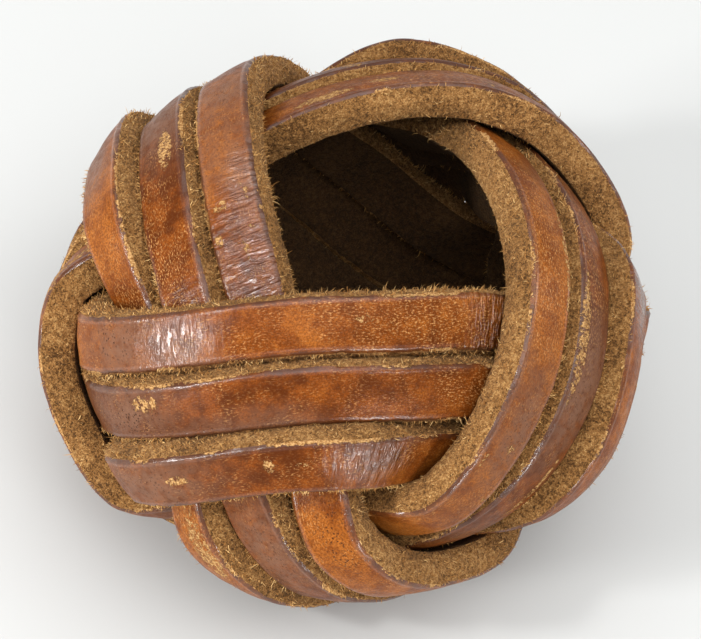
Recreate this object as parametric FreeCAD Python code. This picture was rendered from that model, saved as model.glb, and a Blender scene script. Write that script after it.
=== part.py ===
import FreeCAD, Part
import math
import os

# A hollow, ball-shaped Turk's head knot of three leads and four bights.  It is plaited from three
# flat leather laces that lie side by side all the way through the knot, grain side out.
# Millimetres, degrees of angle.  +Z runs up the open way through the middle, and the origin is at
# the middle of the base, on the surface that the knot stands on.

# The laces
LACE_WIDTH = 4.65
LACE_THICKNESS = 2.9
LACE_PITCH = 5.05          # from the middle of one lace to the middle of its neighbour
CROSSING_GAP = 0.2         # clearance between laces where one passes over another
SPLICE_GAP = 0.3           # between the two cut ends of one lace, butted to close its loop
CANT = 0.15                # lean of a lace that nothing presses on, upper edge outwards, as a slope

# The woven wall: its middle surface is a barrel, and laces pass half over and half under it
BARREL_RADIUS = 20.3
BARREL_HALF_HEIGHT = 16.5
LEADS = 3                  # times that the route goes round before it closes
BIGHTS = 4                 # turning points at each opening
BIGHT_LATITUDE = 45.0      # how far up or down the barrel the route swings
BIGHT_FULLNESS = 0.065     # third harmonic of the swing, which flattens it between the bights
FIRST_AZIMUTH = 22.5

# The finished knot is a little out of true
OVAL_ALONG_X = 0.019
OVAL_DIAGONAL = 0.03
TAPER = -0.015             # narrowing towards the top, over half the height
LEAN_X = 0.008             # sideways shift of a point for each millimetre of height

# Each lace: node, offset from the route in pitches (positive is nearer the upper opening), and
# where along the route its splice lies, as a phase
LACES = (
    ("upper_lace", 1, 1345.0),
    ("middle_lace", 0, 870.0),
    ("lower_lace", -1, 330.0),
)

# One swing of the route up and down is 360 degrees of phase, and it closes after BIGHTS swings.
# It passes over at 30 and 210 degrees of each swing and under at 150 and 330.  The pass that goes
# under another one comes PAIR_LAG later on the route.
FULL_PHASE = 360.0 * BIGHTS
OVER_PHASE = 30.0
UNDER_PHASE = 150.0
PAIR_LAG = 480.0

SECTIONS = 240             # cross-sections along each lace
SPAN_SECTIONS = 10         # cross-sections in one span of its skin
ROUTE_SAMPLES = 2400
SIDEWAYS_STEPS = 6

# Settling of the laces onto each other
LAYINGS = 3
ROUNDS = 300
CONTACT_PASSES = 3
STIFFNESS = 0.5
CANT_PULL = 0.06
CENTRE_PULL = 0.002
ROLL_SHARE = 0.04          # how easily a contact rolls a lace, against lifting it
CELL = 4.0                 # grid size for finding the sections near a point

Vector = FreeCAD.Vector


def unit(vector):
    """The vector's direction, as a new vector of length one."""
    return vector * (1.0 / vector.Length)


def barrel_point(azimuth, latitude):
    ring = BARREL_RADIUS * math.cos(latitude)
    return Vector(ring * math.cos(azimuth), ring * math.sin(azimuth),
                  BARREL_HALF_HEIGHT * math.sin(latitude))


def outward(point):
    """Unit normal of the barrel at a point on it."""
    return unit(Vector(point.x / BARREL_RADIUS ** 2, point.y / BARREL_RADIUS ** 2,
                       point.z / BARREL_HALF_HEIGHT ** 2))


def onto_barrel(point):
    """Pull a nearby point straight to the middle onto the barrel."""
    across = math.hypot(point.x, point.y) / BARREL_RADIUS
    return point * (1.0 / math.hypot(across, point.z / BARREL_HALF_HEIGHT))


def route_point(phase):
    """The middle of the band at a phase of the route."""
    swing = math.radians(phase)
    rise = math.sin(swing) + BIGHT_FULLNESS * math.sin(3.0 * swing)
    azimuth = math.radians(phase * LEADS / BIGHTS + FIRST_AZIMUTH)
    return barrel_point(azimuth, math.radians(BIGHT_LATITUDE) * rise)


def even_phases():
    """Phases that divide the closed route into SECTIONS equal lengths."""
    step = FULL_PHASE / ROUTE_SAMPLES
    points = [route_point(i * step) for i in range(ROUTE_SAMPLES + 1)]
    reached = [0.0]
    for before, after in zip(points, points[1:]):
        reached.append(reached[-1] + (after - before).Length)
    phases = []
    j = 0
    for i in range(SECTIONS):
        wanted = reached[-1] * i / SECTIONS
        while reached[j + 1] < wanted:
            j += 1
        phases.append(step * (j + (wanted - reached[j]) / (reached[j + 1] - reached[j])))
    return phases


def expected_height(phase):
    """Rough height of the band off the barrel, in half thicknesses: 1 over, -1 under."""
    within = phase % 180.0
    climb = 180.0 / (UNDER_PHASE - OVER_PHASE)
    drop = 180.0 / (180.0 - UNDER_PHASE + OVER_PHASE)
    if within < OVER_PHASE:
        return math.cos(math.radians((OVER_PHASE - within) * drop))
    if within < UNDER_PHASE:
        return math.cos(math.radians((within - OVER_PHASE) * climb))
    return -math.cos(math.radians((within - UNDER_PHASE) * drop))


class Section:
    """One cross-section of a lace: its foot on the barrel, directions, height and slope."""

    def __init__(self, foot, phase):
        self.foot = foot
        self.phase = phase
        self.out = outward(foot)
        self.height = 0.4 * LACE_THICKNESS * (1 if phase % 180.0 < 90.0 else -1)
        self.slope = 0.0
        self.half_depth = 0.5 * LACE_THICKNESS

    def aim(self, before, after):
        """Set the directions along the lace and towards its upper edge."""
        along = after.foot - before.foot
        self.along = unit(along - self.out * along.dot(self.out))
        self.upward = self.out.cross(self.along)


def run_beside_route(offset, phases, heights):
    """The sections of a lace that runs beside the route, walked sideways over the barrel.

    The walk is longer below the barrel than above it, so that the lace keeps its pitch there.
    """
    route = [route_point(phase) for phase in phases]
    mean_radius = 0.5 * (BARREL_RADIUS + BARREL_HALF_HEIGHT)
    sections = []
    for i, phase in enumerate(phases):
        point = route[i]
        sideways = unit(outward(point).cross(route[(i + 1) % SECTIONS] - route[i - 1]))
        stride = offset * LACE_PITCH / (1.0 + heights[i] / mean_radius) / SIDEWAYS_STEPS
        for _ in range(SIDEWAYS_STEPS):
            point = onto_barrel(point + sideways * stride)
            normal = outward(point)
            sideways = unit(sideways - normal * sideways.dot(normal))
        sections.append(Section(point, phase))
    for i, section in enumerate(sections):
        section.aim(sections[i - 1], sections[(i + 1) % SECTIONS])
    return sections


def cell_of(point):
    return tuple(math.floor(value / CELL) for value in (point.x, point.y, point.z))


def near_cells(cell):
    steps = (-1, 0, 1)
    return [(cell[0] + i, cell[1] + j, cell[2] + k) for i in steps for j in steps for k in steps]


def find_contacts(laces):
    """Every place where a lace's section lies over or under a section of a crossing lace.

    A contact is (section, across, other, next other, share of the next, across the other, sign),
    where the sign is 1 if the section passes over the other one, and -1 if under.
    """
    grid = {}
    for lace in laces:
        for index, section in enumerate(lace):
            grid.setdefault(cell_of(section.foot), []).append((lace, index))
    half = 0.5 * LACE_WIDTH
    contacts = []
    for section in (section for lace in laces for section in lace):
        for across in (-half, -0.5 * half, 0.0, 0.5 * half, half):
            spot = section.foot + section.upward * across
            for cell in near_cells(cell_of(spot)):
                for lace, index in grid.get(cell, ()):
                    other = lace[index]
                    lag = (other.phase - section.phase) % FULL_PHASE
                    if lag < 0.5 * PAIR_LAG or lag > FULL_PHASE - 0.5 * PAIR_LAG:
                        continue
                    offset = spot - other.foot
                    spacing = (lace[(index + 1) % SECTIONS].foot - other.foot).Length
                    ahead = offset.dot(other.along) / spacing
                    across_other = offset.dot(other.upward)
                    if abs(ahead) > 0.525 or abs(across_other) > 1.02 * half:
                        continue
                    if abs(offset.dot(other.out)) > LACE_THICKNESS:
                        continue
                    beyond = lace[(index + (1 if ahead > 0 else -1)) % SECTIONS]
                    sign = 1 if lag < 0.5 * FULL_PHASE else -1
                    contacts.append((section, across, other, beyond, abs(ahead), across_other, sign))
    return contacts


def relax(lace):
    """Spring every section's height and slope towards an evenly bent lace.

    A lace that climbs or dives is deeper, measured straight out from the barrel.
    """
    heights = [section.height for section in lace]
    slopes = [section.slope for section in lace]
    count = len(lace)

    def even(values, i):
        near = values[i - 1] + values[(i + 1) % count]
        far = values[i - 2] + values[(i + 2) % count]
        return (4.0 * near - far) / 6.0, 0.5 * near

    for i, section in enumerate(lace):
        bent, pulled = even(heights, i)
        target = 0.8 * bent + 0.2 * pulled
        section.height += STIFFNESS * (target - heights[i]) - CENTRE_PULL * heights[i]
        bent, _ = even(slopes, i)
        section.slope += STIFFNESS * (bent - slopes[i]) - CANT_PULL * (slopes[i] - CANT)
        after = lace[(i + 1) % count]
        climb = (heights[(i + 1) % count] - heights[i - 1]) / (after.foot - lace[i - 1].foot).Length
        section.half_depth = 0.5 * LACE_THICKNESS * math.hypot(1.0, climb)


def push_apart(contacts):
    """Lift and roll crossing laces until each clears the other by its thickness."""
    for section, across, other, beyond, share, across_other, sign in contacts:
        rest = 1.0 - share
        mine = section.height + section.slope * across
        theirs = rest * (other.height + other.slope * across_other)
        theirs += share * (beyond.height + beyond.slope * across_other)
        needed = section.half_depth + other.half_depth + CROSSING_GAP
        short = needed - (mine - theirs) * sign
        if short <= 0:
            continue
        give = 1.0 + ROLL_SHARE * across ** 2
        give += (rest ** 2 + share ** 2) * (1.0 + ROLL_SHARE * across_other ** 2)
        push = 0.9 * short * sign / give
        section.height += push
        section.slope += push * ROLL_SHARE * across
        other.height -= push * rest
        other.slope -= push * rest * ROLL_SHARE * across_other
        beyond.height -= push * share
        beyond.slope -= push * share * ROLL_SHARE * across_other


def settle(laces):
    """Bed all the laces down on each other."""
    contacts = find_contacts(laces)
    for _ in range(ROUNDS):
        for lace in laces:
            relax(lace)
        for _ in range(CONTACT_PASSES):
            push_apart(contacts)


def lay_laces(phases):
    """Lay the laces side by side and settle them, then again for the heights that came out."""
    first = [0.5 * LACE_THICKNESS * expected_height(phase) for phase in phases]
    heights = [first for _ in LACES]
    for _ in range(LAYINGS):
        laces = [run_beside_route(offset, phases, heights[i])
                 for i, (_, offset, _) in enumerate(LACES)]
        settle(laces)
        heights = [[section.height for section in lace] for lace in laces]
    return laces


def out_of_true(point):
    """Move a point as the finished knot is oval, tapered and leaning."""
    x = point.x * (1.0 + OVAL_ALONG_X) + point.y * OVAL_DIAGONAL
    y = point.y * (1.0 - OVAL_ALONG_X) + point.x * OVAL_DIAGONAL
    scale = 1.0 + TAPER * point.z / BARREL_HALF_HEIGHT
    return Vector(x * scale + LEAN_X * point.z, y * scale, point.z)


def corner_rails(lace):
    """The four corners of every cross-section, going round it from the upper outer corner."""
    count = len(lace)
    middles = [section.foot + section.out * section.height for section in lace]
    rails = ([], [], [], [])
    for i, section in enumerate(lace):
        along = unit(middles[(i + 1) % count] - middles[i - 1])
        roll = math.atan(section.slope)
        across = section.upward * math.cos(roll) + section.out * math.sin(roll)
        across = unit(across - along * across.dot(along))
        out = along.cross(across)
        half_width = across * (0.5 * LACE_WIDTH)
        half_thickness = out * (0.5 * LACE_THICKNESS)
        corners = (half_width + half_thickness, half_thickness - half_width,
                   half_width * -1.0 - half_thickness, half_width - half_thickness)
        for rail, corner in zip(rails, corners):
            rail.append(out_of_true(middles[i] + corner))
    return rails


def open_at_splice(rail, phases, splice):
    """Cut a closed rail at the splice, leaving half the gap at each end."""
    start = min(range(len(rail)), key=lambda i: abs(phases[i] - splice))
    turned = rail[start:] + rail[:start] + [rail[start]]
    trim = 0.5 * SPLICE_GAP
    turned[0] = turned[0] + unit(turned[1] - turned[0]) * trim
    turned[-1] = turned[-1] + unit(turned[-2] - turned[-1]) * trim
    return turned


def span_of(curve, start, end):
    """The edge along a part of a rail's curve."""
    span = curve.copy()
    span.segment(start, end)
    return span.toShape()


def lace_solid(rails):
    """A lace skinned between its four corner rails and closed at both ends."""
    faces = []
    curves = []
    for rail in rails:
        curve = Part.BSplineCurve()
        curve.interpolate(Points=rail, Parameters=[float(i) for i in range(len(rail))])
        curves.append(curve)
    for start in range(0, len(rails[0]) - 1, SPAN_SECTIONS):
        edges = [span_of(curve, start, start + SPAN_SECTIONS) for curve in curves]
        faces += [Part.makeRuledSurface(edges[i - 1], edges[i]) for i in range(len(edges))]
    for end in (0, -1):
        corners = [rail[end] for rail in rails]
        upper = Part.LineSegment(corners[0], corners[3]).toShape()
        lower = Part.LineSegment(corners[1], corners[2]).toShape()
        faces.append(Part.makeRuledSurface(upper, lower))
    shell = Part.Shell(faces)
    shell.sewShape()
    solid = Part.Solid(shell)
    if solid.Volume < 0:
        solid.reverse()
    return solid


def main():
    os.makedirs("parts", exist_ok=True)
    phases = even_phases()
    laces = lay_laces(phases)
    solids = []
    for lace, (_, _, splice) in zip(laces, LACES):
        rails = [open_at_splice(rail, phases, splice) for rail in corner_rails(lace)]
        solids.append(lace_solid(rails))
    box = Part.makeCompound(solids).optimalBoundingBox(False)
    to_base = Vector(-box.Center.x, -box.Center.y, -box.ZMin)
    for (node, _, _), solid in zip(LACES, solids):
        solid.translate(to_base)
        solid.exportStep(f"parts/{node}.step")
        print(node, "valid", solid.isValid(), "volume", round(solid.Volume, 1))
    print("size", round(box.XLength, 2), round(box.YLength, 2), round(box.ZLength, 2))
    print("moved to the base by", [round(value, 3) for value in to_base])


main()
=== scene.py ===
import math

import bpy
import numpy as np
from mathutils import Matrix, Vector


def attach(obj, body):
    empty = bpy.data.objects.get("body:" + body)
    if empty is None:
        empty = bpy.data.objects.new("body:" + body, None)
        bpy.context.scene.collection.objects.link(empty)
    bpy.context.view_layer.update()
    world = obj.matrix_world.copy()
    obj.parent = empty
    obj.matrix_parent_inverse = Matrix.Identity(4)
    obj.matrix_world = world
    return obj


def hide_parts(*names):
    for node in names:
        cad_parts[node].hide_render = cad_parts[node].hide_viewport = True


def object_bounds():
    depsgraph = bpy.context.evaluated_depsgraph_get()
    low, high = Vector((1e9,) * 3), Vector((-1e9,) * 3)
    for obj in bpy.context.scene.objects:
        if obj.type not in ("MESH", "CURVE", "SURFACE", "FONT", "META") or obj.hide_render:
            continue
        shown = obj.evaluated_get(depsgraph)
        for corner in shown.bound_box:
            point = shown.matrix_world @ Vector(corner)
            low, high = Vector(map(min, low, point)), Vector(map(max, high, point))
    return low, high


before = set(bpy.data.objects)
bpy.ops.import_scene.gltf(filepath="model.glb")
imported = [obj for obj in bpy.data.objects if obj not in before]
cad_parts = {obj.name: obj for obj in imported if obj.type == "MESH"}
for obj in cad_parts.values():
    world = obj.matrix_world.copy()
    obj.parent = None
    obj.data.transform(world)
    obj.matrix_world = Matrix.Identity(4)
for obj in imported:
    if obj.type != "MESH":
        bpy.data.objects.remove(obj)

CAD_LOW, CAD_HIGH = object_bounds()
MM = 0.001

# ---------------------------------------------------------------------------------------------
# The plait, as the CAD source lays it: three laces side by side along one route.  Millimetres.

LACE_WIDTH = 4.65
LACE_THICKNESS = 2.9
LACE_PITCH = 5.05
CROSSING_GAP = 0.2
SPLICE_GAP = 0.3
CANT = 0.15

BARREL_RADIUS = 20.3
BARREL_HALF_HEIGHT = 16.5
LEADS = 3
BIGHTS = 4
BIGHT_LATITUDE = 45.0
BIGHT_FULLNESS = 0.065
FIRST_AZIMUTH = 22.5

OVAL_ALONG_X = 0.019
OVAL_DIAGONAL = 0.03
TAPER = -0.015
LEAN_X = 0.008

LACES = (
    ("upper_lace", 1, 1345.0),
    ("middle_lace", 0, 870.0),
    ("lower_lace", -1, 330.0),
)

FULL_PHASE = 360.0 * BIGHTS
OVER_PHASE = 30.0
UNDER_PHASE = 150.0
PAIR_LAG = 480.0

SECTIONS = 240
ROUTE_SAMPLES = 2400
SIDEWAYS_STEPS = 6
LAYINGS = 3
ROUNDS = 300
CONTACT_PASSES = 3
STIFFNESS = 0.5
CANT_PULL = 0.06
CENTRE_PULL = 0.002
ROLL_SHARE = 0.04

BARREL_AXES = np.array([BARREL_RADIUS, BARREL_RADIUS, BARREL_HALF_HEIGHT])


def unit(vectors):
    return vectors / np.linalg.norm(vectors, axis=-1, keepdims=True)


def dot(a, b):
    return (a * b).sum(-1)


def outward(points):
    return unit(points / BARREL_AXES ** 2)


def onto_barrel(points):
    return points / np.linalg.norm(points / BARREL_AXES, axis=-1, keepdims=True)


def route_points(phases):
    """The middle of the band at each phase of the route."""
    swing = np.radians(phases)
    rise = np.sin(swing) + BIGHT_FULLNESS * np.sin(3.0 * swing)
    latitude = math.radians(BIGHT_LATITUDE) * rise
    azimuth = np.radians(phases * LEADS / BIGHTS + FIRST_AZIMUTH)
    ring = np.cos(latitude)
    shape = np.stack([ring * np.cos(azimuth), ring * np.sin(azimuth), np.sin(latitude)], -1)
    return shape * BARREL_AXES


def even_phases():
    """Phases that divide the closed route into SECTIONS equal lengths."""
    fine = np.linspace(0.0, FULL_PHASE, ROUTE_SAMPLES + 1)
    steps = np.linalg.norm(np.diff(route_points(fine), axis=0), axis=1)
    reached = np.concatenate([[0.0], np.cumsum(steps)])
    return np.interp(np.arange(SECTIONS) * reached[-1] / SECTIONS, reached, fine)


def expected_heights(phases):
    """Rough height of the band off the barrel, in half thicknesses: 1 over, -1 under."""
    within = phases % 180.0
    climb = 180.0 / (UNDER_PHASE - OVER_PHASE)
    drop = 180.0 / (180.0 - UNDER_PHASE + OVER_PHASE)
    early = np.cos(np.radians((OVER_PHASE - within) * drop))
    between = np.cos(np.radians((within - OVER_PHASE) * climb))
    late = -np.cos(np.radians((within - UNDER_PHASE) * drop))
    return np.where(within < OVER_PHASE, early, np.where(within < UNDER_PHASE, between, late))


class Plait:
    """The sections of all laces, as arrays of shape (lace, section, ...)."""

    def __init__(self, phases, heights):
        route = route_points(phases)
        ahead = np.roll(route, -1, 0) - np.roll(route, 1, 0)
        start_side = unit(np.cross(outward(route), ahead))
        mean_radius = 0.5 * (BARREL_RADIUS + BARREL_HALF_HEIGHT)
        feet = []
        for (_, offset, _), tall in zip(LACES, heights):
            stride = offset * LACE_PITCH / (1.0 + tall / mean_radius) / SIDEWAYS_STEPS
            points, side = route, start_side
            for _ in range(SIDEWAYS_STEPS):
                points = onto_barrel(points + side * stride[:, None])
                normals = outward(points)
                side = unit(side - normals * dot(side, normals)[:, None])
            feet.append(points)
        self.phases = phases
        self.feet = np.array(feet)
        self.out = outward(self.feet)
        chord = np.roll(self.feet, -1, 1) - np.roll(self.feet, 1, 1)
        self.reach = np.linalg.norm(chord, axis=-1)
        self.along = unit(chord - self.out * dot(chord, self.out)[..., None])
        self.upward = np.cross(self.out, self.along)
        start = np.where(phases % 180.0 < 90.0, 0.4, -0.4) * LACE_THICKNESS
        self.heights = np.tile(start, (len(LACES), 1))
        self.slopes = np.zeros_like(self.heights)
        self.half_depths = np.full_like(self.heights, 0.5 * LACE_THICKNESS)

    def contacts(self):
        """Rows (section, across, other, next other, share of the next, across it, sign)."""
        flat = [array.reshape(-1, 3) for array in (self.feet, self.along, self.upward, self.out)]
        feet, along, upward, out = flat
        phases = np.tile(self.phases, len(LACES))
        spacing = np.linalg.norm(np.roll(self.feet, -1, 1) - self.feet, axis=-1).ravel()
        half = 0.5 * LACE_WIDTH
        rows = []
        for i in range(len(feet)):
            lag = (phases - phases[i]) % FULL_PHASE
            crossing = (lag > 0.5 * PAIR_LAG) & (lag < FULL_PHASE - 0.5 * PAIR_LAG)
            near = np.linalg.norm(feet - feet[i], axis=1) < 2.0 * LACE_WIDTH
            others = np.nonzero(crossing & near)[0]
            for across in (-half, -0.5 * half, 0.0, 0.5 * half, half):
                offset = feet[i] + upward[i] * across - feet[others]
                ahead = dot(offset, along[others]) / spacing[others]
                across_other = dot(offset, upward[others])
                found = (abs(ahead) <= 0.525) & (abs(across_other) <= 1.02 * half)
                found &= abs(dot(offset, out[others])) <= LACE_THICKNESS
                for j in np.nonzero(found)[0]:
                    other = int(others[j])
                    lace, index = divmod(other, SECTIONS)
                    beyond = lace * SECTIONS + (index + (1 if ahead[j] > 0 else -1)) % SECTIONS
                    sign = 1 if lag[other] < 0.5 * FULL_PHASE else -1
                    rows.append((i, across, other, beyond, float(abs(ahead[j])),
                                 float(across_other[j]), sign))
        return rows

    def relax(self):
        """Spring heights and slopes towards an evenly bent lace."""
        def even(values):
            near = np.roll(values, 1, 1) + np.roll(values, -1, 1)
            far = np.roll(values, 2, 1) + np.roll(values, -2, 1)
            return (4.0 * near - far) / 6.0, 0.5 * near

        climb = (np.roll(self.heights, -1, 1) - np.roll(self.heights, 1, 1)) / self.reach
        self.half_depths = 0.5 * LACE_THICKNESS * np.hypot(1.0, climb)
        bent, pulled = even(self.heights)
        pull = STIFFNESS * (0.8 * bent + 0.2 * pulled - self.heights)
        self.heights = self.heights + pull - CENTRE_PULL * self.heights
        bent, _ = even(self.slopes)
        pull = STIFFNESS * (bent - self.slopes)
        self.slopes = self.slopes + pull - CANT_PULL * (self.slopes - CANT)

    def push_apart(self, rows):
        """Lift and roll crossing laces until each clears the other by its thickness."""
        heights = self.heights.ravel().tolist()
        slopes = self.slopes.ravel().tolist()
        depths = self.half_depths.ravel().tolist()
        for _ in range(CONTACT_PASSES):
            for i, across, other, beyond, share, across_other, sign in rows:
                rest = 1.0 - share
                mine = heights[i] + slopes[i] * across
                theirs = rest * (heights[other] + slopes[other] * across_other)
                theirs += share * (heights[beyond] + slopes[beyond] * across_other)
                short = depths[i] + depths[other] + CROSSING_GAP - (mine - theirs) * sign
                if short <= 0:
                    continue
                give = 1.0 + ROLL_SHARE * across ** 2
                give += (rest ** 2 + share ** 2) * (1.0 + ROLL_SHARE * across_other ** 2)
                push = 0.9 * short * sign / give
                heights[i] += push
                slopes[i] += push * ROLL_SHARE * across
                heights[other] -= push * rest
                slopes[other] -= push * rest * ROLL_SHARE * across_other
                heights[beyond] -= push * share
                slopes[beyond] -= push * share * ROLL_SHARE * across_other
        self.heights = np.array(heights).reshape(self.heights.shape)
        self.slopes = np.array(slopes).reshape(self.slopes.shape)

    def settle(self):
        rows = self.contacts()
        for _ in range(ROUNDS):
            self.relax()
            self.push_apart(rows)

    def centre_lines(self):
        """Middle, across and out directions of every section, once settled."""
        middles = self.feet + self.out * self.heights[..., None]
        along = unit(np.roll(middles, -1, 1) - np.roll(middles, 1, 1))
        roll = np.arctan(self.slopes)[..., None]
        across = self.upward * np.cos(roll) + self.out * np.sin(roll)
        across = unit(across - along * dot(across, along)[..., None])
        return middles, across, np.cross(along, across)


def lay_laces():
    phases = even_phases()
    first = 0.5 * LACE_THICKNESS * expected_heights(phases)
    heights = [first for _ in LACES]
    for _ in range(LAYINGS):
        plait = Plait(phases, heights)
        plait.settle()
        heights = list(plait.heights)
    return plait


def out_of_true(points):
    """Move points as the finished knot is oval, tapered and leaning."""
    x, y, z = points[..., 0], points[..., 1], points[..., 2]
    scale = 1.0 + TAPER * z / BARREL_HALF_HEIGHT
    moved_x = (x * (1.0 + OVAL_ALONG_X) + y * OVAL_DIAGONAL) * scale + LEAN_X * z
    moved_y = (y * (1.0 - OVAL_ALONG_X) + x * OVAL_DIAGONAL) * scale
    return np.stack([moved_x, moved_y, z], -1)


# ---------------------------------------------------------------------------------------------
# Smooth random patterns

def lattice(cells, seed):
    """A repeatable random number from 0 to 1 for each pair of whole numbers."""
    mixed = (cells[0] * 374761393 + cells[1] * 668265263 + seed * 2246822519) & 0xFFFFFFFF
    mixed = ((mixed ^ (mixed >> 13)) * 1274126177) & 0xFFFFFFFF
    return ((mixed ^ (mixed >> 16)) & 0xFFFFFF) / float(0xFFFFFF)


def noise(u, v, seed):
    """Value noise from -1 to 1, with one bump for each unit of u and v."""
    column, row = np.floor(u).astype(np.int64), np.floor(v).astype(np.int64)
    fu, fv = u - column, v - row
    fu, fv = fu * fu * (3.0 - 2.0 * fu), fv * fv * (3.0 - 2.0 * fv)
    near = lattice((column, row), seed) * (1 - fu) + lattice((column + 1, row), seed) * fu
    far = lattice((column, row + 1), seed) * (1 - fu) + lattice((column + 1, row + 1), seed) * fu
    return 2.0 * (near * (1 - fv) + far * fv) - 1.0


def smoothstep(low, high, values):
    t = np.clip((values - low) / (high - low), 0.0, 1.0)
    return t * t * (3.0 - 2.0 * t)


# ---------------------------------------------------------------------------------------------
# One lace as a detailed mesh

STEP = 0.25                # spacing of the detailed sections along a lace
GRAIN_CORNER = 0.55        # rounding of the grain side's corners
FLESH_CORNER = 0.3
GRAIN_CROWN = 0.14         # how much the grain side bulges at its middle
EDGE_BELLY = 0.22          # how much a cut edge bulges
BURNISHED_LIP = 0.07       # the pressed bead along each border of the grain
EDGE_ROUGHNESS = 0.085     # height of the bumps on a cut edge
FOLD_DEPTH = 0.07          # of the bend creases in the grain
NICK_DEPTH = 0.10          # of the nicks in the borders of the grain
GRAIN, EDGE, FLESH = 0, 1, 2


def arc(centre, radius, start, end, count):
    angles = np.radians(np.linspace(start, end, count))
    return np.stack([centre[0] + radius * np.cos(angles), centre[1] + radius * np.sin(angles)], 1)


def section_profile():
    """The outline of a lace's section, as points (across, out), and the zone after each point.

    It goes round from the lower grain corner, over the grain side.
    """
    half_width, half_thick = 0.5 * LACE_WIDTH, 0.5 * LACE_THICKNESS
    g, f = GRAIN_CORNER, FLESH_CORNER
    x_grain, x_flesh = half_width - g, half_width - f
    y_grain, y_flesh = half_thick - g, half_thick - f
    grain_x = np.linspace(-x_grain, x_grain, 18)[1:-1]
    grain_y = half_thick + GRAIN_CROWN * (1.0 - (grain_x / x_grain) ** 2)
    edge_y = np.linspace(y_grain, -y_flesh, 9)[1:-1]
    middle = 0.5 * (y_grain - y_flesh)
    belly = EDGE_BELLY * (1.0 - ((edge_y - middle) / (0.5 * (y_grain + y_flesh))) ** 2)
    flesh_x = np.linspace(x_flesh, -x_flesh, 10)[1:-1]
    stretches = (
        (arc((-x_grain, y_grain), g, 180, 90, 6), (EDGE, EDGE, GRAIN, GRAIN, GRAIN, GRAIN)),
        (np.stack([grain_x, grain_y], 1), (GRAIN,) * len(grain_x)),
        (arc((x_grain, y_grain), g, 90, 0, 6), (GRAIN, GRAIN, GRAIN, EDGE, EDGE, EDGE)),
        (np.stack([half_width + belly, edge_y], 1), (EDGE,) * len(edge_y)),
        (arc((x_flesh, -y_flesh), f, 0, -90, 3), (EDGE, FLESH, FLESH)),
        (np.stack([flesh_x, np.full(len(flesh_x), -half_thick)], 1), (FLESH,) * len(flesh_x)),
        (arc((-x_flesh, -y_flesh), f, -90, -180, 3), (FLESH, EDGE, EDGE)),
        (np.stack([-half_width - belly, edge_y], 1)[::-1], (EDGE,) * len(edge_y)),
    )
    points = np.concatenate([part for part, _ in stretches])
    zones = np.concatenate([zone for _, zone in stretches])
    return points, zones


def resample(loop, places):
    """Catmull-Rom values of a closed loop of rows at fractional places."""
    i = np.floor(places).astype(int)
    t = (places - i)[:, None]
    count = len(loop)
    a, b, c, d = (loop[(i + k) % count] for k in (-1, 0, 1, 2))
    return 0.5 * (2 * b + (c - a) * t + (2 * a - 5 * b + 4 * c - d) * t ** 2
                  + (3 * b - a - 3 * c + d) * t ** 3)


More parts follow.
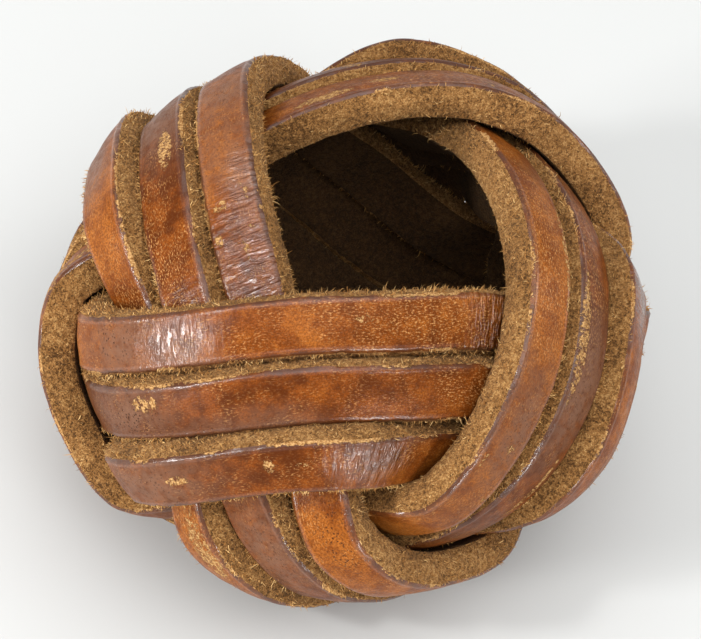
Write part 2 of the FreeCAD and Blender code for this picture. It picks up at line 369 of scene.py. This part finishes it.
# Single marks of wear and of painted grazing sheen: lace, phase along it, millimetres across it, half its
# length, half its width
WEAR_AND_SHEEN = {
    "scuffs": (
        ("middle_lace", 1138.0, 0.6, 2.2, 0.7),
        ("middle_lace", 740.0, 0.8, 1.3, 0.8),
        ("upper_lace", 108.0, 0.9, 2.4, 0.7),
        ("upper_lace", 84.0, 0.2, 1.2, 0.5),
        ("upper_lace", 428.0, -1.9, 5.0, 0.4),
        ("middle_lace", 405.0, 1.6, 5.0, 0.6),
        ("middle_lace", 372.0, -1.2, 3.0, 0.4),
        ("lower_lace", 747.0, 0.2, 0.9, 0.5),
        ("lower_lace", 1262.0, 0.6, 3.0, 1.2),
        ("upper_lace", 190.0, 0.8, 3.0, 0.6),
        ("lower_lace", 520.0, -0.6, 2.5, 0.7),
        ("middle_lace", 930.0, 0.9, 3.0, 0.6),
    ),
    "creases": (
        ("upper_lace", 1195.0, 0.4, 6.0, 2.2),
        ("upper_lace", 748.0, 0.0, 2.4, 2.2),
        ("upper_lace", 1165.0, 1.2, 3.0, 1.4),
        ("middle_lace", 1215.0, 0.0, 3.5, 2.0),
        ("lower_lace", 800.0, 0.5, 2.5, 2.0),
        ("middle_lace", 20.0, 0.0, 4.0, 2.2),
        ("lower_lace", 430.0, 0.0, 4.0, 2.2),
        ("upper_lace", 925.0, 0.0, 4.0, 2.2),
        ("middle_lace", 560.0, 0.0, 4.0, 2.2),
    ),
    # painted grazing sheen, lilac-grey, where the laces bend away, on grain rubbed dull
    "sheen_and_rub": (
        ("upper_lace", 733.0, 0.0, 3.4, 3.0),
        ("middle_lace", 735.0, 0.0, 4.4, 3.0),
        ("lower_lace", 740.0, 0.0, 4.8, 3.0),
        ("middle_lace", 1122.0, 0.0, 4.5, 3.0),
        ("upper_lace", 1124.0, 0.5, 3.0, 3.0),
        ("lower_lace", 1130.0, -0.5, 4.0, 2.0),
        ("middle_lace", 1265.0, 0.0, 5.0, 3.0),
        ("middle_lace", 392.0, 0.0, 6.0, 3.0),
        ("upper_lace", 380.0, -0.5, 5.0, 2.0),
        ("middle_lace", 210.0, 0.0, 4.0, 3.0),
        ("upper_lace", 560.0, 0.0, 5.0, 3.0),
        ("lower_lace", 930.0, 0.0, 5.0, 3.0),
    ),
    "speckles": (
        ("upper_lace", 830.0, 0.4, 8.0, 2.5),
        ("middle_lace", 850.0, 0.0, 5.0, 2.0),
        ("upper_lace", 430.0, 0.6, 9.0, 2.0),
        ("middle_lace", 425.0, 0.8, 7.0, 1.6),
        ("lower_lace", 1205.0, 0.0, 6.0, 2.2),
        ("middle_lace", 1190.0, -0.6, 6.0, 1.8),
        ("lower_lace", 1262.0, 0.4, 5.0, 1.8),
        ("upper_lace", 60.0, 0.0, 8.0, 2.0),
    ),
    "pores": (
        ("upper_lace", 732.0, 0.3, 2.2, 2.0),
        ("middle_lace", 735.0, -0.3, 3.0, 2.0),
        ("upper_lace", 1268.0, 0.6, 3.0, 1.6),
        ("middle_lace", 20.0, 0.0, 5.0, 2.0),
        ("lower_lace", 560.0, 0.0, 5.0, 2.0),
    ),
}
LACE_TONES = {"upper_lace": 0.12, "middle_lace": -0.30, "lower_lace": -0.02}


class LaceShape:
    """A lace's detailed surface: a grid with one row for each section, opened at its splice."""

    def __init__(self, name, centre_line, phases, splice, seed):
        self.name = name
        self.seed = seed
        start = int(np.argmin(abs(phases - splice)))
        middles, across, out = centre_line
        steps = np.linalg.norm(np.roll(middles, -1, 0) - middles, axis=1)
        self.length = steps.sum()
        count = int(self.length / STEP)
        trim = 0.5 * SPLICE_GAP / steps.mean()
        places = start + np.linspace(trim, SECTIONS - trim, count)
        self.middle = resample(middles, places)
        along = unit(np.gradient(self.middle, axis=0))
        side = resample(across, places)
        self.across = unit(side - along * dot(side, along)[:, None])
        self.out = np.cross(along, self.across)
        twice_round = np.concatenate([phases, phases + FULL_PHASE, [2 * FULL_PHASE]])
        passed = np.interp(places, np.arange(2 * SECTIONS + 1), twice_round)
        self.phase = (phases[0] + passed) % FULL_PHASE
        self.run = np.linspace(0.0, self.length, count)
        self.outline, self.zones = section_profile()
        gaps = np.linalg.norm(np.diff(np.vstack([self.outline, self.outline[:1]]), axis=0), axis=1)
        self.round = np.concatenate([[0.0], np.cumsum(gaps)[:-1]])
        self.points = self.surface()

    def surface(self):
        run = self.run[:, None]
        ring = self.round[None, :]
        x, y = self.outline[:, 0][None, :], self.outline[:, 1][None, :]
        s = self.seed
        level = 0.0 * x
        slow, quick = noise(run / 9.0, level + 0.5, s), noise(run / 2.6, level + 1.5, s)
        width = 1.0 + 0.022 * slow + 0.012 * quick
        thick = 1.0 + 0.03 * noise(run / 12.0, level + 2.5, s)
        sway = 0.05 * noise(run / 6.0, level + 3.5, s)
        rough = EDGE_ROUGHNESS * noise(run / 0.8, ring / 0.65, s + 1)
        rough = rough + EDGE_ROUGHNESS * noise(run / 0.42, ring / 0.4, s + 2)
        soft = 0.03 * noise(run / 2.2, ring / 1.6, s + 3)
        soft = soft + 0.012 * noise(run / 0.7, ring / 0.6, s + 4)
        folded = smoothstep(-0.1, 0.8, noise(run / 0.55, ring / 2.6, s + 5))
        folds = -FOLD_DEPTH * self.mark("creases") * folded
        lip = BURNISHED_LIP * np.exp(-((abs(x) - 0.5 * LACE_WIDTH + 0.42) / 0.16) ** 2)
        nicks = NICK_DEPTH * smoothstep(0.35, 0.8, noise(run / 0.7, np.sign(x) + level, s + 6))
        lip = lip - nicks * smoothstep(0.5 * LACE_WIDTH - 0.5, 0.5 * LACE_WIDTH - 0.1, abs(x))
        lift = np.where(self.zones[None, :] == EDGE, rough,
                        np.where(self.zones[None, :] == GRAIN, soft + folds + lip, 0.4 * rough))
        normal = self.outline_normals()
        px = x * width + sway + normal[:, 0][None, :] * lift
        py = y * thick + normal[:, 1][None, :] * lift
        points = self.middle[:, None, :] + self.across[:, None, :] * px[..., None]
        return points + self.out[:, None, :] * py[..., None]

    def mark(self, kind):
        """How strongly each point shows one kind of mark, wear or painted sheen: 0 to 1, from the marks
        listed for this lace.
        """
        total = np.zeros((len(self.run), len(self.outline)))
        x = self.outline[:, 0][None, :]
        for lace, phase, across, half_length, half_width in WEAR_AND_SHEEN[kind]:
            if lace == self.name:
                half_way = 0.5 * FULL_PHASE
                apart = abs((self.phase - phase + half_way) % FULL_PHASE - half_way)
                away = (self.run - self.run[int(np.argmin(apart))])[:, None] / half_length
                spot = np.exp(-away ** 2 - ((x - across) / half_width) ** 2)
                total = np.maximum(total, spot)
        return total * (self.outline[:, 1][None, :] > 0)

    def fray(self):
        """How frayed each stretch of a border is, from 0 to 1."""
        side = 3.0 * np.sign(self.outline[:, 0]) + 0.3 * self.round
        return 0.5 + 0.5 * noise(self.run[:, None] / 2.4, side[None, :], self.seed + 17)

    def outline_normals(self):
        ahead = np.roll(self.outline, -1, 0) - np.roll(self.outline, 1, 0)
        turned = np.stack([-ahead[:, 1], ahead[:, 0]], 1)
        return unit(turned)


def masks(shape):
    """Patterns for the shaders, a value for each point: border, tone, the kinds of wear and the painted
    sheen.
    """
    x = shape.outline[:, 0][None, :]
    run = shape.run[:, None]
    ring = shape.round[None, :]
    s = shape.seed
    border = smoothstep(0.5 * LACE_WIDTH - 0.95, 0.5 * LACE_WIDTH - 0.1, abs(x)) + 0.0 * run
    patches = 0.6 * noise(run / 6.0, ring / 3.5, s + 11)
    patches = patches + 0.4 * noise(run / 1.3, ring / 1.0, s + 12)
    tone = 0.35 * noise(run / 11.0, ring / 9.0, s + 13)
    tone = tone + 0.15 * noise(run / 3.0, ring / 2.5, s + 14)
    stray_creases = 0.7 * smoothstep(0.55, 0.95, noise(run / 8.0, ring / 9.0, s + 15))
    # random stretches of painted grazing sheen on dull rubbed grain
    stray_sheen_and_rub = 0.6 * smoothstep(0.3, 0.9, noise(run / 9.0, ring / 7.0, s + 16))
    return {
        "border": border,
        "tone": 0.5 + LACE_TONES[shape.name] + tone,
        "scuffs": np.maximum(shape.mark("scuffs"), 0.75 * smoothstep(0.5, 0.75, patches)),
        "creases": np.maximum(shape.mark("creases"), stray_creases),
        "sheen_and_rub": np.maximum(shape.mark("sheen_and_rub"), stray_sheen_and_rub),
        "pores": shape.mark("pores"),
        "speckles": shape.mark("speckles"),
        "fray": shape.fray(),
    }


def finished(points, offset):
    """Points of the plait as metres in the frame."""
    return (out_of_true(points) + offset) * MM


def build_lace(name, shape, offset, materials):
    rows, columns = shape.points.shape[:2]
    points = finished(shape.points, offset).reshape(-1, 3)
    grid = np.arange(rows * columns).reshape(rows, columns)
    near, far = grid[:-1], grid[1:]
    quads = np.stack([near, np.roll(near, -1, 1), np.roll(far, -1, 1), far], -1).reshape(-1, 4)
    first_end, last_end = grid[0].tolist(), grid[-1][::-1].tolist()
    mesh = bpy.data.meshes.new(name)
    mesh.from_pydata(points.tolist(), [], quads.tolist() + [first_end[::-1], last_end[::-1]])
    zone_of_face = np.tile(shape.zones, rows - 1).tolist() + [EDGE, EDGE]
    mesh.polygons.foreach_set("material_index", zone_of_face)
    mesh.polygons.foreach_set("use_smooth", [True] * len(mesh.polygons))
    for key, values in masks(shape).items():
        layer = mesh.attributes.new(key, "FLOAT", "POINT")
        spread = np.broadcast_to(values, (rows, columns)).astype(np.float32)
        layer.data.foreach_set("value", spread.ravel())
    uv = mesh.uv_layers.new(name="lace")
    corners = np.zeros(len(mesh.loops), np.int32)
    mesh.loops.foreach_get("vertex_index", corners)
    lengthwise, around = shape.run[corners // columns], shape.round[corners % columns]
    uv.data.foreach_set("uv", np.stack([lengthwise, around], 1).astype(np.float32).ravel())
    for material in materials:
        mesh.materials.append(material)
    mesh.validate()
    lace = bpy.data.objects.new(name, mesh)
    bpy.context.scene.collection.objects.link(lace)
    return lace


# ---------------------------------------------------------------------------------------------
# Loose suede fibres along the cut edges

FIBRES_PER_MM = 50         # along each lace, both edges together
FIBRE_LENGTH = 0.33
FIBRE_THICKNESS = 0.058
FIBRE_FACES = ((0, 1, 4), (0, 4, 3), (1, 2, 5), (1, 5, 4), (2, 0, 3), (2, 3, 5),
               (3, 4, 6), (4, 5, 6), (5, 3, 6), (0, 2, 1))
FIBRE_POINTS = 7


def fibre_roots(shape, random):
    """Where the fibres grow: row and column of the surface's grid, and the point between them."""
    count = int(shape.length * FIBRES_PER_MM)
    rows, columns = shape.points.shape[:2]
    weight = np.where(shape.zones == EDGE, 1.0, 0.0)
    high = shape.outline[:, 1] > 0.5 * LACE_THICKNESS - GRAIN_CORNER - 0.35
    weight = weight * np.where(high, 1.7, 1.0)
    rim = (shape.zones == GRAIN) & (abs(shape.outline[:, 0]) > 0.5 * LACE_WIDTH - 0.38)
    weight = weight + np.where(rim, 2.2, 0.0)
    place = random.uniform(1.0, rows - 2.0, count)
    row = place.astype(int)
    column = random.choice(columns, count, p=weight / weight.sum())
    kept = ~rim[column] | (shape.fray()[row, column] > 0.55)
    place, row, column = place[kept], row[kept], column[kept]
    share = random.uniform(0.0, 1.0, len(row))[:, None]
    here = shape.points[row, column]
    root = here * (1.0 - share) + shape.points[row, (column + 1) % columns] * share
    root = root + (shape.points[row + 1, column] - here) * (place - row)[:, None]
    return place, row, column, root


def build_fibres(name, shape, offset, materials, random):
    """Short fibres that stand out of the cut edges, as one mesh of closed three-sided spikes."""
    place, row, column, root = fibre_roots(shape, random)
    count = len(row)
    normals = shape.outline_normals()[column]
    along = unit(shape.middle[row + 1] - shape.middle[row - 1])
    stand = shape.across[row] * normals[:, :1] + shape.out[row] * normals[:, 1:]
    side = np.cross(along, stand)
    lean = random.normal(0.0, 1.0, (count, 2))
    combed = noise(place / 6.0, column / 3.0, shape.seed + 21)[:, None]
    clump = 0.5 + 0.5 * noise(place / 3.2, column / 2.0, shape.seed + 22)
    stretch = 0.5 + 0.5 * noise(place / 18.0, np.sign(shape.outline[column, 0]), shape.seed + 23)
    upward = shape.out[row] * 0.25
    direction = unit(stand * 0.8 + upward + along * (0.65 * lean[:, :1] + 0.7 * combed)
                     + side * 0.55 * lean[:, 1:])
    spread = np.exp(random.normal(0.0, 0.33, count))
    length = FIBRE_LENGTH * (0.35 + 0.65 * clump + 0.45 * stretch) * spread
    bend = unit(direction + random.normal(0.0, 0.55, (count, 3)) + along * 0.3)
    knee = root + direction * (0.55 * length)[:, None]
    tip = knee + bend * (0.5 * length)[:, None]
    base = root - stand * 0.06
    thick = FIBRE_THICKNESS * random.uniform(0.5, 1.3, count)[:, None]
    first = unit(np.cross(direction, side + 0.1 * along))
    second = np.cross(direction, first)
    rings = []
    for centre, girth in ((base, 0.55), (knee, 0.42)):
        for angle in (0.0, 2.0 * math.pi / 3.0, 4.0 * math.pi / 3.0):
            around = first * math.cos(angle) + second * math.sin(angle)
            rings.append(centre + around * thick * girth)
    points = finished(np.stack(rings + [tip], 1), offset).reshape(-1, 3)
    points[:, 2] = np.maximum(points[:, 2], 0.0)      # fibres under the knot lie on the floor
    starts = np.arange(count)[:, None, None] * FIBRE_POINTS
    faces = (starts + np.array(FIBRE_FACES)[None]).reshape(-1, 3)
    mesh = bpy.data.meshes.new(name)
    mesh.from_pydata(points.tolist(), [], faces.tolist())
    pale = clump * 0.5 + 0.5 * random.uniform(0.0, 1.0, count)
    shade = np.clip((pale * len(materials)).astype(int), 0, len(materials) - 1)
    mesh.polygons.foreach_set("material_index", np.repeat(shade, len(FIBRE_FACES)).tolist())
    for material in materials:
        mesh.materials.append(material)
    fibres = bpy.data.objects.new(name, mesh)
    bpy.context.scene.collection.objects.link(fibres)
    return fibres


# ---------------------------------------------------------------------------------------------
# Materials

class Nodes:
    """A small helper that adds and links the nodes of one material."""

    def __init__(self, name):
        self.material = bpy.data.materials.new(name)
        self.material.use_nodes = True
        self.tree = self.material.node_tree
        self.shader = self.tree.nodes["Principled BSDF"]
        self.place = self.add("ShaderNodeTexCoord").outputs["Object"]

    def add(self, kind, inputs=(), **settings):
        node = self.tree.nodes.new(kind)
        for key, value in settings.items():
            setattr(node, key, value)
        for key, value in dict(inputs).items():
            self.feed(node.inputs[key], value)
        return node

    def feed(self, socket, value):
        if isinstance(value, bpy.types.NodeSocket):
            self.tree.links.new(value, socket)
        else:
            socket.default_value = value

    def stretched(self, along, around):
        """Coordinates along and round the lace, in millimetres, each divided by a size."""
        uv = self.add("ShaderNodeUVMap", uv_map="lace").outputs["UV"]
        scale = (1.0 / along, 1.0 / around, 1.0)
        return self.add("ShaderNodeMapping", {"Vector": uv, "Scale": scale}).outputs["Vector"]

    def mottle(self, size, detail=2.0, roughness=0.5, where=None):
        """Noise from 0 to 1 with features of a size in millimetres."""
        scale = 1.0 if where else 1.0 / (size * MM)
        inputs = {"Vector": where or self.place, "Scale": scale,
                  "Detail": detail, "Roughness": roughness}
        return self.add("ShaderNodeTexNoise", inputs).outputs["Fac"]

    def cells(self, size):
        """Distance from the middles of cells of a size in millimetres."""
        inputs = {"Vector": self.place, "Scale": 1.0 / (size * MM)}
        return self.add("ShaderNodeTexVoronoi", inputs).outputs["Distance"]

    def mask(self, name):
        return self.add("ShaderNodeAttribute", attribute_name=name).outputs["Fac"]

    def remap(self, value, low, high, start=0.0, end=1.0):
        inputs = {"Value": value, "From Min": low, "From Max": high, "To Min": start, "To Max": end}
        node = self.add("ShaderNodeMapRange", inputs, interpolation_type="SMOOTHSTEP")
        return node.outputs["Result"]

    def maths(self, operation, first, second, clamp=False):
        node = self.add("ShaderNodeMath", operation=operation, use_clamp=clamp)
        self.feed(node.inputs[0], first)
        self.feed(node.inputs[1], second)
        return node.outputs["Value"]

    def mix(self, share, first, second):
        node = self.add("ShaderNodeMix", data_type="RGBA")
        self.feed(node.inputs["Factor"], share)
        self.feed(node.inputs[6], first)
        self.feed(node.inputs[7], second)
        return node.outputs[2]

    def bump(self, height, depth, strength=1.0, under=None):
        inputs = {"Height": height, "Distance": depth * MM, "Strength": strength}
        if under:
            inputs["Normal"] = under
        return self.add("ShaderNodeBump", inputs).outputs["Normal"]

    def finish(self, **inputs):
        for key, value in inputs.items():
            self.feed(self.shader.inputs[key.replace("_", " ")], value)
        return self.material


def rgb(red, green, blue):
    return (red, green, blue, 1.0)


DEEP = rgb(0.075, 0.016, 0.002)             # grain, from its darkest to its lightest
COGNAC = rgb(0.190, 0.046, 0.005)
AMBER = rgb(0.345, 0.104, 0.014)
GOLD = rgb(0.57, 0.28, 0.095)
PAINTED_SHEEN_AND_RUB = rgb(0.175, 0.085, 0.050)             # painted grazing sheen, lilac-grey, mixed with grain rubbed dull
BORDER_LINE = rgb(0.065, 0.021, 0.008)      # burnished borders of the grain
PORE = rgb(0.04, 0.014, 0.006)
RAW_BROWN = rgb(0.24, 0.105, 0.028)         # leather laid bare by wear
RAW_TAN = rgb(0.58, 0.34, 0.14)
# cut-edge suede, dark to light: the dark shade is partly the fibres' own colour and partly painted shade
# in the gaps between clumps
SUEDE_AND_GAP_SHADE = (rgb(0.075, 0.029, 0.006), rgb(0.29, 0.130, 0.035), rgb(0.53, 0.295, 0.105))
# flesh side, inside the knot: darkened well below its own brown as painted shade for the hollow
FLESH_SIDE_SHADED = (rgb(0.022, 0.008, 0.003), rgb(0.062, 0.026, 0.008), rgb(0.12, 0.055, 0.018))
SUEDE_SHEEN = rgb(0.9, 0.62, 0.36)
FIBRE_SHADES = (
    ("dark", rgb(0.18, 0.076, 0.018)),
    ("brown", rgb(0.33, 0.150, 0.041)),
    ("tan", rgb(0.52, 0.285, 0.096)),
    ("pale", rgb(0.72, 0.46, 0.19)),
)
FLOOR = rgb(0.575, 0.58, 0.57)


def grain_material():
    """Waxed cognac grain: mottled, speckled, creased, with painted sheen on dull rubbed places, frayed at
    its borders.
    """
    n = Nodes("cognac_grain")
    tone = n.maths("ADD", n.mask("tone"), n.remap(n.mottle(1.5, 5.0, 0.62), 0.3, 0.7, -0.3, 0.3))
    color = n.mix(n.remap(tone, 0.0, 0.55), DEEP, COGNAC)
    color = n.mix(n.remap(tone, 0.45, 1.05), color, AMBER)
    specks = n.remap(n.mottle(1.0, 3.0, 0.6, where=n.stretched(0.24, 0.13)), 0.50, 0.66)
    speckled = n.maths("ADD", n.mottle(2.4, 3.0), n.maths("MULTIPLY", n.mask("speckles"), 0.3))
    speckled = n.remap(speckled, 0.4, 0.8, 0.10, 0.9)
    color = n.mix(n.maths("MULTIPLY", specks, speckled), color, GOLD)
    fine = n.remap(n.mottle(0.15, 3.0, 0.65), 0.38, 0.64, 0.0, 0.62)
    color = n.mix(fine, color, DEEP)
    patchy = n.remap(n.mottle(0.8, 4.0, 0.6), 0.3, 0.6, 0.35, 0.85)
    # painted grazing sheen: lilac-grey mixed in where the grain is rubbed dull
    color = n.mix(n.maths("MULTIPLY", n.mask("sheen_and_rub"), patchy), color, PAINTED_SHEEN_AND_RUB)
    uneven = n.remap(n.mottle(0.4, 4.0, 0.6), 0.3, 0.7, -0.14, 0.14)
    border = n.maths("ADD", n.mask("border"), uneven)
    broken = n.remap(n.mottle(2.0, 2.0), 0.35, 0.6, 0.35, 0.85)
    lined = n.maths("MULTIPLY", n.remap(border, 0.55, 0.9), broken)
    color = n.mix(lined, color, BORDER_LINE)
    flakes = n.remap(n.mottle(0.4, 5.0, 0.75), 0.36, 0.58, 0.0, 1.5)
    flaked = n.maths("MULTIPLY", n.mask("scuffs"), flakes)
    fray = n.maths("ADD", border, n.remap(n.mask("fray"), 0.2, 0.9, -0.40, 0.24))
    worn = n.maths("MAXIMUM", n.remap(flaked, 0.55, 0.66), n.remap(fray, 0.97, 1.08))
    raw = n.mix(n.remap(n.mottle(0.15, 3.0, 0.7), 0.35, 0.65), RAW_BROWN, RAW_TAN)
    color = n.mix(worn, color, raw)
    holes = n.remap(n.cells(0.30), 0.14, 0.34, 1.0, 0.0)
    open_grain = n.maths("MAXIMUM", n.mask("pores"), n.maths("MULTIPLY", n.mask("sheen_and_rub"), 0.55))
    pored = n.maths("MULTIPLY", holes, open_grain, clamp=True)
    color = n.mix(n.maths("MULTIPLY", pored, 0.8), color, PORE)
    wrinkles = n.remap(n.mottle(1.0, 3.0, 0.55, where=n.stretched(0.42, 2.2)), 0.35, 0.65)
    creased = n.maths("MULTIPLY", wrinkles, n.mask("creases"))
    streaks = n.mottle(1.0, 3.0, 0.6, where=n.stretched(0.5, 0.13))
    normal = n.bump(n.mottle(0.22, 4.0, 0.65), 0.022)
    normal = n.bump(streaks, 0.022, 1.0, normal)
    normal = n.bump(creased, 0.2, 1.0, normal)
    normal = n.bump(n.maths("MULTIPLY", pored, -1.0), 0.06, 1.0, normal)
    normal = n.bump(n.maths("MULTIPLY", worn, n.mottle(0.15, 3.0)), 0.12, 1.0, normal)
    rough = n.remap(n.mottle(0.5, 4.0), 0.3, 0.7, 0.28, 0.46)
    rough = n.maths("ADD", rough, n.maths("MULTIPLY", worn, 0.45), clamp=True)
    rubbed_border = n.remap(n.mask("border"), 0.1, 0.5, 0.0, 0.45)
    polished = n.maths("MAXIMUM", n.mask("creases"), rubbed_border)
    shine = n.remap(polished, 0.0, 1.0, 0.03, 1.0)
    coat = n.maths("MULTIPLY", shine, n.maths("SUBTRACT", 1.0, worn))
    return n.finish(Base_Color=color, Roughness=rough, Normal=normal, Specular_IOR_Level=0.06,
                    Coat_Weight=coat, Coat_IOR=1.8, Coat_Roughness=0.2, Coat_Normal=normal)


def suede_material(name, dark, middle, light):
    """Raw split leather: clumps of fibres, light at their tips and dark between them, the dark partly
    their own colour and partly painted shade in the gaps.
    """
    n = Nodes(name)
    clumps = n.mottle(0.36, 4.0, 0.7)
    tufts = n.mottle(0.13, 3.0, 0.7)
    drift = n.remap(n.mottle(3.5, 2.0), 0.3, 0.7, -0.2, 0.2)
    coarse, fine = n.remap(clumps, 0.3, 0.7, -0.45, 0.5), n.remap(tufts, 0.3, 0.7, 0.0, 1.0)
    depth = n.maths("ADD", n.maths("ADD", coarse, fine), drift)
    # low places between the clumps take the dark shade: painted shade in the gaps, with the fibres' own
    # darker colour
    color = n.mix(n.remap(depth, -0.1, 0.6), dark, middle)
    color = n.mix(n.remap(depth, 0.6, 1.3), color, light)
    normal = n.bump(tufts, 0.18)
    normal = n.bump(clumps, 0.34, 1.0, normal)
    return n.finish(Base_Color=color, Roughness=0.95, Normal=normal, Specular_IOR_Level=0.12,
                    Sheen_Weight=0.15, Sheen_Roughness=0.6, Sheen_Tint=SUEDE_SHEEN)


def fibre_materials():
    """Plain materials for whole fibres, from dark to pale. Fibres in a tuft tend to be paler."""
    made = []
    for shade, color in FIBRE_SHADES:
        n = Nodes("suede_fibre_" + shade)
        made.append(n.finish(Base_Color=color, Roughness=0.85, Specular_IOR_Level=0.15))
    return made


# ---------------------------------------------------------------------------------------------
# Floor, light and camera

CAMERA_DISTANCE = 0.35
CAMERA_ELEVATION = 52.2
CAMERA_AZIMUTH = -19.5
CAMERA_ROLL = 16.8
CAMERA_LENS = 227.5        # on the default 36 mm sensor
AIM_RIGHT = 0.00006        # where the view's middle falls, off the middle of the knot
AIM_UP = -0.00037
FLOOR_SIZE = 3.0
SKY = rgb(0.97, 0.985, 1.0)
SKY_STRENGTH = 0.46

# Name, azimuth and elevation in degrees, distance and size in metres, power in watts
SOFTBOXES = (
    ("overhead_softbox", -60.0, 88.0, 0.8, 1.2, 6.8),
    ("front_softbox", 5.0, 62.0, 0.9, 0.7, 2.2),
    ("left_softbox", -70.0, 10.0, 0.4, 0.045, 1.1),
    ("left_upper_softbox", -70.0, 37.0, 0.4, 0.035, 0.6),
    ("low_softbox", 26.0, 5.0, 0.4, 0.05, 0.6),
    ("right_softbox", 98.0, 20.0, 0.7, 0.2, 0.85),
)


def add_floor():
    n = Nodes("pale_floor")
    material = n.finish(Base_Color=FLOOR, Roughness=0.8, Specular_IOR_Level=0.1)
    bpy.ops.mesh.primitive_plane_add(size=FLOOR_SIZE)
    floor = bpy.context.object
    floor.name = "floor"
    floor.data.materials.append(material)


def add_area_light(name, azimuth, elevation, distance, size, power, target):
    light = bpy.data.lights.new(name, "AREA")
    light.size = size
    light.energy = power
    lamp = bpy.data.objects.new(name, light)
    bpy.context.scene.collection.objects.link(lamp)
    a, e = math.radians(azimuth), math.radians(elevation)
    towards = Vector((math.sin(a) * math.cos(e), -math.cos(a) * math.cos(e), math.sin(e)))
    lamp.location = target + towards * distance
    lamp.rotation_euler = towards.to_track_quat("Z", "Y").to_euler()


def add_lights(target):
    world = bpy.data.worlds.new("studio")
    bpy.context.scene.world = world
    world.use_nodes = True
    background = world.node_tree.nodes["Background"]
    background.inputs["Color"].default_value = SKY
    background.inputs["Strength"].default_value = SKY_STRENGTH
    for light in SOFTBOXES:
        add_area_light(*light, target)


def add_camera(target):
    camera = bpy.data.cameras.new("camera")
    camera.lens = CAMERA_LENS
    camera.clip_start = 0.01
    eye = bpy.data.objects.new("camera", camera)
    bpy.context.scene.collection.objects.link(eye)
    a, e = math.radians(CAMERA_AZIMUTH), math.radians(CAMERA_ELEVATION)
    back = Vector((math.sin(a) * math.cos(e), -math.cos(a) * math.cos(e), math.sin(e)))
    right = Vector((math.cos(a), math.sin(a), 0.0))
    turn = Matrix.Rotation(math.radians(CAMERA_ROLL), 3, back)
    right = turn @ right
    up = back.cross(right)
    axes = Matrix((right, up, back)).transposed()
    eye.location = target + back * CAMERA_DISTANCE + right * AIM_RIGHT + up * AIM_UP
    eye.rotation_euler = axes.to_euler()
    bpy.context.scene.camera = eye


# ---------------------------------------------------------------------------------------------

def base_offset(plait_lines):
    """The move that puts the plait's own middle and base where the frame's are, in millimetres."""
    middles, across, out = plait_lines
    half = 0.5 * LACE_WIDTH * across, 0.5 * LACE_THICKNESS * out
    corners = [out_of_true(middles + a * half[0] + b * half[1]) for a in (-1, 1) for b in (-1, 1)]
    corners = np.array(corners).reshape(-1, 3)
    low, high = corners.min(0), corners.max(0)
    centre = 0.5 * (np.array(CAD_LOW) + np.array(CAD_HIGH)) / MM
    return centre - 0.5 * (low + high)


def build_knot():
    plait = lay_laces()
    lines = plait.centre_lines()
    offset = base_offset(lines)
    suede = suede_material("cut_edge_suede_gap_shade", *SUEDE_AND_GAP_SHADE)
    # the flesh side material carries painted shade for the inside of the knot
    shaded_flesh = suede_material("flesh_side_painted_shade", *FLESH_SIDE_SHADED)
    materials = [grain_material(), suede, shaded_flesh]
    shades = fibre_materials()
    random = np.random.default_rng(7)
    for index, (node, _, splice) in enumerate(LACES):
        line = [array[index] for array in lines]
        shape = LaceShape(node, line, plait.phases, splice, 100 * (index + 1))
        lace = build_lace(node + "_leather", shape, offset, materials)
        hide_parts(node)
        fibres = build_fibres(node + "_fibres", shape, offset, shades, random)
        for piece in (lace, fibres):
            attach(piece, "root")


def main():
    build_knot()
    target = Vector((0.0, 0.0, 0.5 * (CAD_LOW.z + CAD_HIGH.z)))
    add_floor()
    add_lights(target)
    add_camera(target)
    bpy.context.scene.view_settings.view_transform = "Standard"


main()
